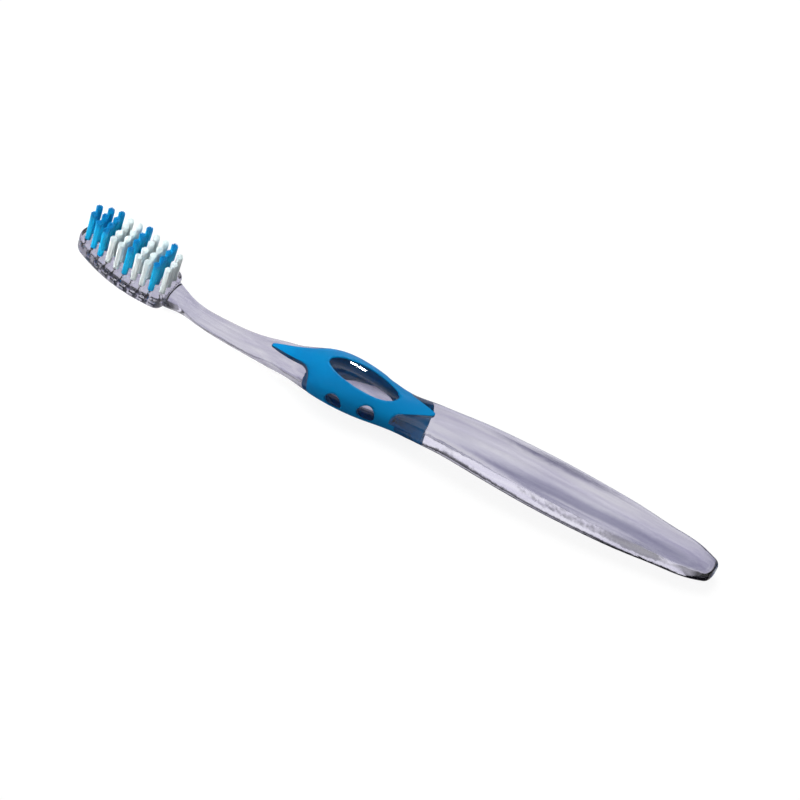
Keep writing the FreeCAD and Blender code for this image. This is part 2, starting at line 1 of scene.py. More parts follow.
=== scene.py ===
"""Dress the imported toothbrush: clear moulded handle, rubber grip, nylon tufts and metal anchors."""
import logging
import math
import random
from dataclasses import dataclass, field
from enum import Enum

import bpy
from mathutils import Matrix, Vector


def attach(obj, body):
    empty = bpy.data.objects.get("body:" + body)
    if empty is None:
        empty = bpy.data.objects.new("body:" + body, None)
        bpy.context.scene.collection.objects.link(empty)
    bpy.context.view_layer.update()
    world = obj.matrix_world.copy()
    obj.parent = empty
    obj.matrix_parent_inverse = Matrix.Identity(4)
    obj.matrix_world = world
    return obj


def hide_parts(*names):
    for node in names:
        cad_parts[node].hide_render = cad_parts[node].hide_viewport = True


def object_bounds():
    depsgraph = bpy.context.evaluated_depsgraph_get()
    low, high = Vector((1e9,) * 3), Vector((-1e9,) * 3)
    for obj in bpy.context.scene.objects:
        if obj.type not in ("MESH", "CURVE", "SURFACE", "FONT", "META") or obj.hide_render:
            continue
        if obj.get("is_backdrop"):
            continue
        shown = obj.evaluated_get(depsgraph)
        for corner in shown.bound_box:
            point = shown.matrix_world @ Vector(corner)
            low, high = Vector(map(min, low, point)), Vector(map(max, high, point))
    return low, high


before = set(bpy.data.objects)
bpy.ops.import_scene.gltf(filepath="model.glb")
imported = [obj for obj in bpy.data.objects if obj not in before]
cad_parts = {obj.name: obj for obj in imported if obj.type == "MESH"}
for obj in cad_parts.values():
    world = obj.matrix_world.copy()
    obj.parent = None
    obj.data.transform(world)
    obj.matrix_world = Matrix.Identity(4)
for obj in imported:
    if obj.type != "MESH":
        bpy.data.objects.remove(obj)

LOG = logging.getLogger("toothbrush")
BODY = "root"
MM = 0.001
Colour = tuple[float, float, float, float]
Point = tuple[float, float, float]
# A place in a plane
Flat = tuple[float, float]
# A range, from its first value to its second
Span = tuple[float, float]
# Places, and the level at each
Stops = tuple[tuple[float, float], ...]
# The head plate's slope, and the point on its back at the toe
HEAD_TILT = math.radians(10.5)
HEAD_TOE: Point = (-0.094749, 0.0, 0.00965)
# Nearly all values of a noise lie in this band
NOISE_BAND: Span = (0.3, 0.7)
RISING: Span = (0.0, 1.0)
FALLING: Span = (1.0, 0.0)
# A direction's parts run from -1 to 1, and those above the horizon from 0 to 1
WHOLE_SKY: Span = (-1.0, 1.0)
BLACK: Colour = (0.0, 0.0, 0.0, 1.0)
WHITE: Colour = (1.0, 1.0, 1.0, 1.0)
# The sockets of a Mix node that mixes colours
MIX_LOW, MIX_HIGH, MIX_RESULT = 6, 7, 2


class Dye(Enum):
    """The two colours of nylon on the head."""

    BLUE = "blue"
    WHITE = "white"


class Graph:
    """Adds nodes to one shader tree and joins them."""

    def __init__(self, tree: bpy.types.NodeTree) -> None:
        """Keep the tree that the nodes go into."""
        self.tree = tree

    def add(self, kind: str, **settings: object) -> bpy.types.Node:
        """Add one node.

        Args:
            kind: Blender's name for the node.
            settings: Properties of the node, by name.

        Returns:
            The new node.
        """
        node = self.tree.nodes.new(kind)
        for name, setting in settings.items():
            setattr(node, name, setting)
        return node

    def join(self, source: bpy.types.NodeSocket, target: bpy.types.NodeSocket) -> None:
        """Link an output to an input."""
        self.tree.links.new(source, target)

    def feed(self, target: bpy.types.NodeSocket, source: object) -> None:
        """Link an output to an input, or write a plain value on it.

        Args:
            target: The input.
            source: An output, a number or a colour.
        """
        if isinstance(source, bpy.types.NodeSocket):
            self.join(source, target)
        else:
            target.default_value = source

    def math(self, operation: str, first: object, second: object) -> bpy.types.NodeSocket:
        """Add a Math node.

        Args:
            operation: Blender's name for the operation.
            first: An output or a number.
            second: An output or a number.

        Returns:
            The node's output.
        """
        node = self.add("ShaderNodeMath", operation=operation)
        self.feed(node.inputs[0], first)
        self.feed(node.inputs[1], second)
        return node.outputs[0]

    def blend(self, share: object, low: object, high: object) -> bpy.types.NodeSocket:
        """Mix two colours.

        Args:
            share: How much of the second colour shows, an output or a number.
            low: The first colour.
            high: The second colour.

        Returns:
            The mixed colour.
        """
        node = self.add("ShaderNodeMix", data_type="RGBA")
        self.feed(node.inputs["Factor"], share)
        self.feed(node.inputs[MIX_LOW], low)
        self.feed(node.inputs[MIX_HIGH], high)
        return node.outputs[MIX_RESULT]

    def spread(self, value: object, bounds: Span, to: Span) -> bpy.types.NodeSocket:
        """Bring a value from one range into another, and hold it there.

        Args:
            value: An output.
            bounds: The range that it comes from.
            to: The range that it goes to.

        Returns:
            The new value.
        """
        node = self.add("ShaderNodeMapRange")
        self.feed(node.inputs["Value"], value)
        node.inputs["From Min"].default_value, node.inputs["From Max"].default_value = bounds
        node.inputs["To Min"].default_value, node.inputs["To Max"].default_value = to
        return node.outputs["Result"]

    def grade(self, value: object, reach: Span, stops: Stops,
              cool: float = 0.0) -> bpy.types.NodeSocket:
        """Turn a value into a level that runs straight from each stop to the next.

        Args:
            value: An output.
            reach: The lowest and the highest place that a stop may have.
            stops: Places and the level at each.
            cool: How much bluer the darker levels are.

        Returns:
            The level.
        """
        ramp = self.add("ShaderNodeValToRGB")
        marks = ramp.color_ramp.elements
        halfway = 0.5
        while len(marks) < len(stops):
            marks.new(halfway)
        for mark, (place, level) in zip(marks, stops):
            mark.position = (place - reach[0]) / (reach[1] - reach[0])
            mark.color = (level, level, level * (1.0 + cool * (1.0 - level)), 1.0)
        self.join(self.spread(value, reach, RISING), ramp.inputs[0])
        return ramp.outputs["Color"]


def start_group(name: str, inputs: dict[str, float],
                outputs: list[str]) -> tuple[Graph, bpy.types.Node, bpy.types.Node]:
    """Make an empty shader group with number sockets.

    Args:
        name: The group's name.
        inputs: Each input's name and its usual value.
        outputs: The outputs' names.

    Returns:
        The group's graph, its input node and its output node.
    """
    tree = bpy.data.node_groups.new(name, "ShaderNodeTree")
    for label, usual in inputs.items():
        socket = tree.interface.new_socket(label, in_out="INPUT", socket_type="NodeSocketFloat")
        socket.default_value = usual
    for label in outputs:
        tree.interface.new_socket(label, in_out="OUTPUT", socket_type="NodeSocketFloat")
    graph = Graph(tree)
    return graph, graph.add("NodeGroupInput"), graph.add("NodeGroupOutput")


class Effects:
    """The shader groups that several finishes share, each built once."""

    # The scale of each layer of the grain, and the detail of its noise
    GRAIN_LAYERS: dict[str, tuple[float, float]] = {"Fine": (1.0, 3.0), "Broad": (0.21, 2.0)}
    STREAK_DETAIL: float = 1.0

    def __init__(self, head_tilt: float, toe: Point) -> None:
        """Build the groups.

        Args:
            head_tilt: The head plate's slope in radians.
            toe: A point on the back of the head plate, at the toe.
        """
        self.grain = self.make_grain()
        self.strand = self.make_strand(head_tilt, toe)

    @staticmethod
    def make_grain() -> bpy.types.NodeTree:
        """A surface's grain, at a pitch in millimetres and drawn out along the length.

        Returns:
            The group.
        """
        graph, given, out = start_group("moulded_grain", {"Pitch": 1.0, "Draw": 1.0, "Seed": 0.0},
                                        ["Fine", "Broad"])
        place = graph.add("ShaderNodeTexCoord").outputs["Object"]
        drawn = graph.add("ShaderNodeCombineXYZ")
        per_mm = graph.math("DIVIDE", 1.0 / MM, given.outputs["Pitch"])
        graph.feed(drawn.inputs["X"], graph.math("DIVIDE", per_mm, given.outputs["Draw"]))
        graph.feed(drawn.inputs["Y"], per_mm)
        graph.feed(drawn.inputs["Z"], per_mm)
        scaled = graph.add("ShaderNodeVectorMath", operation="MULTIPLY")
        graph.join(place, scaled.inputs[0])
        graph.join(drawn.outputs[0], scaled.inputs[1])
        for label, (scale, detail) in Effects.GRAIN_LAYERS.items():
            noise = graph.add("ShaderNodeTexNoise", noise_dimensions="4D")
            graph.join(scaled.outputs[0], noise.inputs["Vector"])
            graph.join(given.outputs["Seed"], noise.inputs["W"])
            noise.inputs["Scale"].default_value = scale
            noise.inputs["Detail"].default_value = detail
            graph.join(noise.outputs["Fac"], out.inputs[label])
        return graph.tree

    @staticmethod
    def make_strand(head_tilt: float, toe: Point) -> bpy.types.NodeTree:
        """Height above the head plate's back in millimetres, and a streak for each filament.

        Args:
            head_tilt: The head plate's slope in radians.
            toe: A point on the back of the head plate, at the toe.

        Returns:
            The group.
        """
        graph, given, out = start_group("strand", {"Pitch": 0.2}, ["Height", "Streak"])
        place = graph.add("ShaderNodeTexCoord").outputs["Object"]
        turn = graph.add("ShaderNodeVectorRotate", rotation_type="Y_AXIS")
        graph.join(place, turn.inputs["Vector"])
        turn.inputs["Center"].default_value = toe
        turn.inputs["Angle"].default_value = -head_tilt
        shift = graph.add("ShaderNodeVectorMath", operation="SUBTRACT")
        graph.join(turn.outputs[0], shift.inputs[0])
        shift.inputs[1].default_value = toe
        split = graph.add("ShaderNodeSeparateXYZ")
        graph.join(shift.outputs[0], split.inputs[0])
        graph.join(graph.math("DIVIDE", split.outputs["Z"], MM), out.inputs["Height"])
        flat = graph.add("ShaderNodeCombineXYZ")
        per_mm = graph.math("DIVIDE", 1.0 / MM, given.outputs["Pitch"])
        graph.join(graph.math("MULTIPLY", split.outputs["X"], per_mm), flat.inputs["X"])
        graph.join(graph.math("MULTIPLY", split.outputs["Y"], per_mm), flat.inputs["Y"])
        cells = graph.add("ShaderNodeTexNoise")
        graph.join(flat.outputs[0], cells.inputs["Vector"])
        cells.inputs["Scale"].default_value = 1.0
        cells.inputs["Detail"].default_value = Effects.STREAK_DETAIL
        graph.join(cells.outputs["Fac"], out.inputs["Streak"])
        return graph.tree


def new_material(name: str) -> tuple[bpy.types.Material, Graph, bpy.types.Node]:
    """Make a material with its Principled shader.

    Args:
        name: The material's name.

    Returns:
        The material, its graph and its shader.
    """
    material = bpy.data.materials.new(name)
    material.use_nodes = True
    tree = material.node_tree
    return material, Graph(tree), tree.nodes["Principled BSDF"]


def place_group(graph: Graph, group: bpy.types.NodeTree, **values: float) -> bpy.types.Node:
    """Put a shared effect into a material.

    Args:
        graph: The material's graph.
        group: The effect.
        values: Its inputs for this material.

    Returns:
        The group's node.
    """
    node = graph.add("ShaderNodeGroup", node_tree=group)
    for name, value in values.items():
        node.inputs[name].default_value = value
    return node


def raise_grain(graph: Graph, shader: bpy.types.Node, height: object, depth: float) -> None:
    """Turn a grain into fine relief.

    Args:
        graph: The material's graph.
        shader: The material's shader.
        height: The grain's value.
        depth: The relief's depth in metres.
    """
    bump = graph.add("ShaderNodeBump")
    bump.inputs["Distance"].default_value = depth
    graph.feed(bump.inputs["Height"], height)
    graph.join(bump.outputs["Normal"], shader.inputs["Normal"])


@dataclass(frozen=True)
class ClearPlastic:
    """Glass-clear styrene with a faint lavender tint and long flow lines."""

    name: str = "clear_plastic"
    tint: Colour = (0.68, 0.67, 0.74, 1.0)
    flow_tint: Colour = (0.46, 0.44, 0.57, 1.0)
    index: float = 1.52
    polish: Span = (0.02, 0.07)
    flow_pitch: float = 1.6
    flow_draw: float = 16.0
    flow_band: Span = (0.35, 0.65)
    ripple: float = 0.000004

    def build(self, effects: Effects) -> bpy.types.Material:
        """Make the material.

        Args:
            effects: The shared shader groups.

        Returns:
            The material.
        """
        material, graph, shader = new_material(self.name)
        flow = place_group(graph, effects.grain, Pitch=self.flow_pitch, Draw=self.flow_draw)
        share = graph.spread(flow.outputs["Fine"], self.flow_band, RISING)
        graph.join(graph.blend(share, self.tint, self.flow_tint), shader.inputs["Base Color"])
        graph.join(graph.spread(flow.outputs["Broad"], NOISE_BAND, self.polish),
                   shader.inputs["Roughness"])
        raise_grain(graph, shader, flow.outputs["Fine"], self.ripple)
        shader.inputs["IOR"].default_value = self.index
        shader.inputs["Transmission Weight"].default_value = 1.0
        return material


@dataclass(frozen=True)
class GripRubber:
    """Satin thermoplastic rubber with a fine moulded grain and a soft bloom."""

    name: str = "grip_rubber"
    colour: Colour = (0.0, 0.25, 0.58, 1.0)
    deep: Colour = (0.0, 0.21, 0.52, 1.0)
    satin: Span = (0.40, 0.56)
    pitch: float = 0.14
    seed: float = 3.0
    cloud_pitch: float = 2.5
    cloud_seed: float = 7.0
    relief: float = 0.000012
    bloom: float = 0.01
    bloom_spread: float = 0.4
    shine: float = 0.10

    def build(self, effects: Effects) -> bpy.types.Material:
        """Make the material.

        Args:
            effects: The shared shader groups.

        Returns:
            The material.
        """
        material, graph, shader = new_material(self.name)
        grain = place_group(graph, effects.grain, Pitch=self.pitch, Seed=self.seed)
        cloud = place_group(graph, effects.grain, Pitch=self.cloud_pitch, Seed=self.cloud_seed)
        share = graph.spread(cloud.outputs["Broad"], NOISE_BAND, RISING)
        graph.join(graph.blend(share, self.colour, self.deep), shader.inputs["Base Color"])
        graph.join(graph.spread(grain.outputs["Fine"], NOISE_BAND, self.satin),
                   shader.inputs["Roughness"])
        raise_grain(graph, shader, grain.outputs["Fine"], self.relief)
        shader.inputs["Specular IOR Level"].default_value = self.shine
        shader.inputs["Sheen Weight"].default_value = self.bloom
        shader.inputs["Sheen Roughness"].default_value = self.bloom_spread
        return material


@dataclass(frozen=True)
class Nylon:
    """End-rounded nylon filament, darker at the tip, with painted shade at the root where it stands
    in the plate.

    The two reaches are heights above the back of the head plate, in millimetres.
    """

    name: str
    body: Colour
    # Painted shade at the root, near the plate; also the tone of the random darker streaks
    root: Colour
    tip: Colour
    # Heights over which the painted root shade fades out
    root_shade_reach: Span = (4.4, 6.4)
    tip_reach: Span = (12.6, 15.0)
    streaks: Span = (0.0, 0.35)
    gloss: Span = (0.22, 0.38)
    index: float = 1.53

    def build(self, effects: Effects) -> bpy.types.Material:
        """Make the material.

        Args:
            effects: The shared shader groups.

        Returns:
            The material.
        """
        material, graph, shader = new_material(self.name)
        strand = place_group(graph, effects.strand)
        # Painted shade: darker towards the plate, where the filaments stand in their holes
        root_shade_mask = graph.spread(strand.outputs["Height"], self.root_shade_reach, FALLING)
        tipped = graph.spread(strand.outputs["Height"], self.tip_reach, RISING)
        streak = graph.spread(strand.outputs["Streak"], NOISE_BAND, self.streaks)
        colour = graph.blend(graph.math("MAXIMUM", root_shade_mask, streak), self.body, self.root)
        graph.join(graph.blend(tipped, colour, self.tip), shader.inputs["Base Color"])
        graph.join(graph.spread(strand.outputs["Streak"], NOISE_BAND, self.gloss),
                   shader.inputs["Roughness"])
        shader.inputs["IOR"].default_value = self.index
        return material


@dataclass(frozen=True)
class AnchorMetal:
    """Nickel-silver strip, with the draw marks of its rolling."""

    name: str = "anchor_metal"
    colour: Colour = (0.72, 0.66, 0.52, 1.0)
    dull: Colour = (0.55, 0.48, 0.36, 1.0)
    pitch: float = 0.08
    draw: float = 0.2
    seed: float = 11.0
    gloss: Span = (0.22, 0.42)

    def build(self, effects: Effects) -> bpy.types.Material:
        """Make the material.

        Args:
            effects: The shared shader groups.

        Returns:
            The material.
        """
        material, graph, shader = new_material(self.name)
        marks = place_group(graph, effects.grain, Pitch=self.pitch, Draw=self.draw, Seed=self.seed)
        share = graph.spread(marks.outputs["Broad"], NOISE_BAND, RISING)
        graph.join(graph.blend(share, self.colour, self.dull), shader.inputs["Base Color"])
        graph.join(graph.spread(marks.outputs["Fine"], NOISE_BAND, self.gloss),
                   shader.inputs["Roughness"])
        shader.inputs["Metallic"].default_value = 1.0
        return material


def dress(node: bpy.types.Object, material: bpy.types.Material) -> None:
    """Give a carried-over CAD node its finish.

    Args:
        node: The node's object.
        material: The finish.
    """
    node.data.materials.clear()
    node.data.materials.append(material)


@dataclass
class Handle:
    """The clear moulding: head plate, neck, core and handle in one shot."""

    node: str = "handle"
    finish: ClearPlastic = field(default_factory=ClearPlastic)

    def build(self, effects: Effects) -> bpy.types.Object:
        """Dress the moulding.

        Args:
            effects: The shared shader groups.

        Returns:
            The node's object.
        """
        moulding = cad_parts[self.node]
        dress(moulding, self.finish.build(effects))
        return moulding


@dataclass
class GripSleeve:
    """The rubber moulded over the core, bonded to it all over."""

    node: str = "grip_sleeve"
    seam: float = 0.001 * MM
    bond: float = 0.05 * MM
    finish: GripRubber = field(default_factory=GripRubber)

    def build(self, effects: Effects) -> bpy.types.Object:
        """Dress the sleeve, and let its skin reach just into the clear plastic, as a bond does.

        Args:
            effects: The shared shader groups.

        Returns:
            The node's object.
        """
        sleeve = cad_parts[self.node]
        weld = sleeve.modifiers.new("seams", "WELD")
        weld.merge_threshold = self.seam
        skin = sleeve.modifiers.new("bond", "DISPLACE")
        skin.strength = self.bond
        skin.mid_level = 0.0
        dress(sleeve, self.finish.build(effects))
        return sleeve


@dataclass
class Anchors:
    """The metal strips that hold the tufts in their holes, one node for each row."""

    rows: int = 10
    finish: AnchorMetal = field(default_factory=AnchorMetal)

    def build(self, effects: Effects) -> list[bpy.types.Object]:
        """Dress the strips.

        Args:
            effects: The shared shader groups.

        Returns:
            The nodes' objects.
        """
        material = self.finish.build(effects)
        strips = [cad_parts["anchors_row%d" % (row + 1)] for row in range(self.rows)]
        for strip in strips:
            dress(strip, material)
        return strips


@dataclass(frozen=True)
class HeadFrame:
    """The head plate's own axes: along from the toe, across, and square to the plate."""

    tilt: float
    toe: Point

    def place(self, along: float, across: float, height: float) -> Vector:
        """Take a place on the head plate, in metres, into the frame of the part."""
        turned = Matrix.Rotation(self.tilt, 3, "Y") @ Vector((along, across, height))
        return turned + Vector(self.toe)


@dataclass
class TuftField:
    """Every tuft on the head: nylon filaments folded over an anchor in pairs.

    A pair is one length of filament: from its tip down one side of the anchor, under it and up the
    other side.
    """

    axes: HeadFrame
    plate: float = 4.8 * MM
    first_row: float = 2.65 * MM
    row_pitch: float = 2.73 * MM
    tuft_pitch: float = 2.8 * MM
    radius: float = 0.90 * MM
    filament: float = 0.1 * MM
    packing: float = 0.215 * MM
    anchor_half: float = 0.125 * MM
    anchor_foot: float = 2.3 * MM
    anchor_height: float = 1.3 * MM
    # How far the two legs close up over the anchor, against half its thickness
    pinch: float = 0.75
    fold_room: float = 0.42 * MM
    fold_steps: int = 6
    splay: float = 0.20
    most_lean: float = 0.12 * MM
    wander: float = 0.035 * MM
    trim: float = 0.22 * MM
    # How much lower a tuft ends at its rim, and the power of the curve down to there
    crown: float = 0.264 * MM
    crown_power: int = 3
    # How far below the tip a ring lies and how wide it is, both against the filament's radius
    tip_rings: Stops = ((0.0, 0.35), (0.35, 0.75), (1.0, 1.0))
    # Where rings lie on the way from the mouth of the hole to the tip
    leg_rings: tuple[float, ...] = (0.66, 0.33)
    sides: int = 6
    seed: int = 20
    row_seeds: int = 100
    reach: dict[Dye, float] = field(default_factory=lambda: {
        Dye.BLUE: 10.5 * MM, Dye.WHITE: 9.6 * MM,
    })
    # Each row's dye, its number of tufts, and how far apart they stand against the pitch
    rows: tuple[tuple[Dye, int, float], ...] = (
        (Dye.BLUE, 2, 0.96), (Dye.BLUE, 3, 0.96), (Dye.BLUE, 4, 0.86), (Dye.WHITE, 4, 0.93),
        (Dye.WHITE, 4, 1.00), (Dye.BLUE, 4, 1.02), (Dye.WHITE, 4, 1.01), (Dye.WHITE, 4, 1.00),
        (Dye.BLUE, 4, 0.96), (Dye.WHITE, 3, 0.96),
    )
    # Each root colour is painted shade near the plate, and also the tone of random darker streaks
    finishes: dict[Dye, Nylon] = field(default_factory=lambda: {
        Dye.BLUE: Nylon("blue_filament", body=(0.0, 0.60, 0.96, 1.0),
                        root=(0.0, 0.36, 0.76, 1.0), tip=(0.0, 0.28, 0.62, 1.0)),
        Dye.WHITE: Nylon("white_filament", body=(0.93, 0.99, 0.98, 1.0),
                         root=(0.82, 0.90, 0.91, 1.0), tip=(0.86, 0.96, 0.97, 1.0)),
    })

    def stations(self) -> list[Flat]:
        """Where the pairs stand in one half of a hole, packed like oranges.

        Returns:
            The distance from the anchor and along it, for each pair.
        """
        found = []
        first = self.anchor_half + self.filament
        limit = self.radius - self.filament
        rank_pitch = self.packing * math.sqrt(3) / 2
        for rank in range(int(limit / rank_pitch) + 1):
            away = first + rank * rank_pitch
            offset = self.packing / 2 * (rank % 2)
            count = int(2 * limit / self.packing) + 2
            for step in range(-count, count + 1):
                aside = step * self.packing + offset
                if math.hypot(away, aside) <= limit:
                    found.append((away, aside))
        return found

    def leg(self, side: float, away: float, aside: float, top: float, lean: Flat,
            rng: random.Random) -> list[tuple[Vector, float]]:
        """The centre line of one side of a pair, from its tip to the foot of the anchor.

        Args:
            side: 1 or -1, the side of the anchor.
            away: The pair's distance from the middle of the anchor.
            aside: Its place along the anchor.
            top: The tuft's height above the back of the plate.
            lean: How the whole tuft leans, along and across.
            rng: The tuft's own random numbers.

        Returns:
            Points, and the share of the filament's radius at each.
        """
        mouth = self.plate
        trimmed = top - rng.uniform(0.0, self.trim) - self.crown * (
            math.hypot(away, aside) / self.radius) ** self.crown_power
        near = side * (away - self.anchor_half * self.pinch)
        wander = Vector((rng.uniform(-1, 1), rng.uniform(-1, 1))) * self.wander

        def stand(height: float) -> Vector:
            """Where the leg is at one height.

            Args:
                height: The height above the back of the plate, outside the hole.

            Returns:
                The place.
            """
            rise = (height - mouth) / (top - mouth)
            grown = 1.0 + self.splay * rise
            return Vector((near * grown + wander.x * rise + lean[0] * rise,
                           aside * grown + wander.y * rise + lean[1] * rise, height))

        line = [(stand(trimmed - drop * self.filament), width) for drop, width in self.tip_rings]
        line += [(stand(mouth + (trimmed - mouth) * share), 1.0) for share in self.leg_rings]
        line.append((stand(mouth), 1.0))
        line += [(Vector((side * away, aside, self.anchor_foot + rise)), 1.0)
                 for rise in (self.anchor_height, 0.0)]
        return line

    def path(self, away: float, aside: float, top: float, lean: Flat,
             rng: random.Random) -> list[tuple[Vector, float]]:
        """The centre line of one pair in a tuft.

        Args:
            away: The pair's distance from the middle of the anchor.
            aside: Its place along the anchor.
            top: The tuft's height above the back of the plate.
            lean: How the whole tuft leans, along and across.
            rng: The tuft's own random numbers.

        Returns:
            Points from one tip to the other, and the share of the filament's radius at each.
        """
        down, up = (self.leg(side, away, aside, top, lean, rng) for side in (1.0, -1.0))
        drop = self.fold_room * away / (self.radius - self.filament)
        fold = []
        for step in range(1, self.fold_steps):
            angle = math.pi * step / self.fold_steps
            depth = (self.filament + drop) * math.sin(angle)
            fold.append((Vector((away * math.cos(angle), aside, self.anchor_foot - depth)), 1.0))
        return down + fold + up[::-1]

    def sweep(self, line: list[tuple[Vector, float]], place: Point, points: list[Vector],
              faces: list[tuple[int, ...]]) -> None:
        """Add one filament to a mesh, as rings along its centre line with both ends closed.

        Args:
            line: The centre line and the share of the radius at each point.
            place: The tuft's place on the head plate.
            points: The mesh's points so far.
            faces: The mesh's faces so far.
        """
        start = len(points)
        across = Vector((0.0, 1.0, 0.0))
        for index, (centre, share) in enumerate(line):
            before = line[max(index - 1, 0)][0]
            after = line[min(index + 1, len(line) - 1)][0]
            forward = (after - before).normalized()
            out = forward.cross(across).normalized()
            for side in range(self.sides):
                angle = 2 * math.pi * side / self.sides
                rim = centre + (out * math.cos(angle) + across * math.sin(angle)) * (
                    self.filament * share)
                points.append(self.axes.place(rim.x + place[0], rim.y + place[1], rim.z))
        for ring in range(len(line) - 1):
            for side in range(self.sides):
                here = start + ring * self.sides + side
                next_side = start + ring * self.sides + (side + 1) % self.sides
                faces.append((here, next_side, next_side + self.sides, here + self.sides))
        last = start + (len(line) - 1) * self.sides
        faces.append(tuple(start + side for side in reversed(range(self.sides))))
        faces.append(tuple(last + side for side in range(self.sides)))

    def tuft(self, row: int, number: int,
             materials: dict[Dye, bpy.types.Material]) -> bpy.types.Object:
        """Build one tuft and let it stand for its CAD node.

        Args:
            row: The row, from the toe.
            number: The tuft in the row.
            materials: The finish of each dye.

        Returns:
            The tuft's object.
        """
        dye, count, spacing = self.rows[row]
        rng = random.Random(self.seed + self.row_seeds * row + number)
        place = (self.first_row + self.row_pitch * row,
                 self.tuft_pitch * spacing * (number - (count - 1) / 2), 0.0)
        top = self.plate + self.reach[dye]
        lean = (rng.uniform(-self.most_lean, self.most_lean),
                rng.uniform(-self.most_lean, self.most_lean))
        points: list[Vector] = []
        faces: list[tuple[int, ...]] = []
        for away, aside in self.stations():
            self.sweep(self.path(away, aside, top, lean, rng), place, points, faces)
        name = "%s_filaments_row%d_%d" % (dye.value, row + 1, number + 1)
        mesh = bpy.data.meshes.new(name)
        mesh.from_pydata([tuple(point) for point in points], [], faces)
        mesh.shade_smooth()
        mesh.materials.append(materials[dye])
        piece = bpy.data.objects.new(name, mesh)
        bpy.context.scene.collection.objects.link(piece)
        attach(piece, BODY)
        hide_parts("%s_tuft_row%d_%d" % (dye.value, row + 1, number + 1))
        return piece

    def build(self, effects: Effects) -> list[bpy.types.Object]:
        """Build every tuft.

        Args:
            effects: The shared shader groups.

        Returns:
            The tufts' objects.
        """
        materials = {dye: finish.build(effects) for dye, finish in self.finishes.items()}
        return [self.tuft(row, number, materials)
                for row, (_, count, _) in enumerate(self.rows) for number in range(count)]


@dataclass
class Lamp:
    """One soft square lamp.

    A lamp either lights matt surfaces or shows in clear and shiny ones. A narrow spread is that of a
    lamp with a grid.
    """

    name: str
    place: Point
    power: float
    size: float
    aim: Point = (0.0, 0.0, 0.0)
    spread: float = math.pi
    shows: bool = False

    def build(self) -> None:
        """Hang the lamp."""
        light = bpy.data.lights.new(self.name, "AREA")
        light.shape = "SQUARE"
        light.spread = self.spread
        light.energy = self.power
        light.size = self.size
        lamp = bpy.data.objects.new(self.name, light)
        lamp.location = self.place
        sight = Vector(self.aim) - Vector(self.place)
        lamp.rotation_euler = sight.to_track_quat("-Z", "Y").to_euler()
        lamp.visible_diffuse = not self.shows
        lamp.visible_glossy = self.shows
        lamp.visible_transmission = self.shows
        bpy.context.scene.collection.objects.link(lamp)


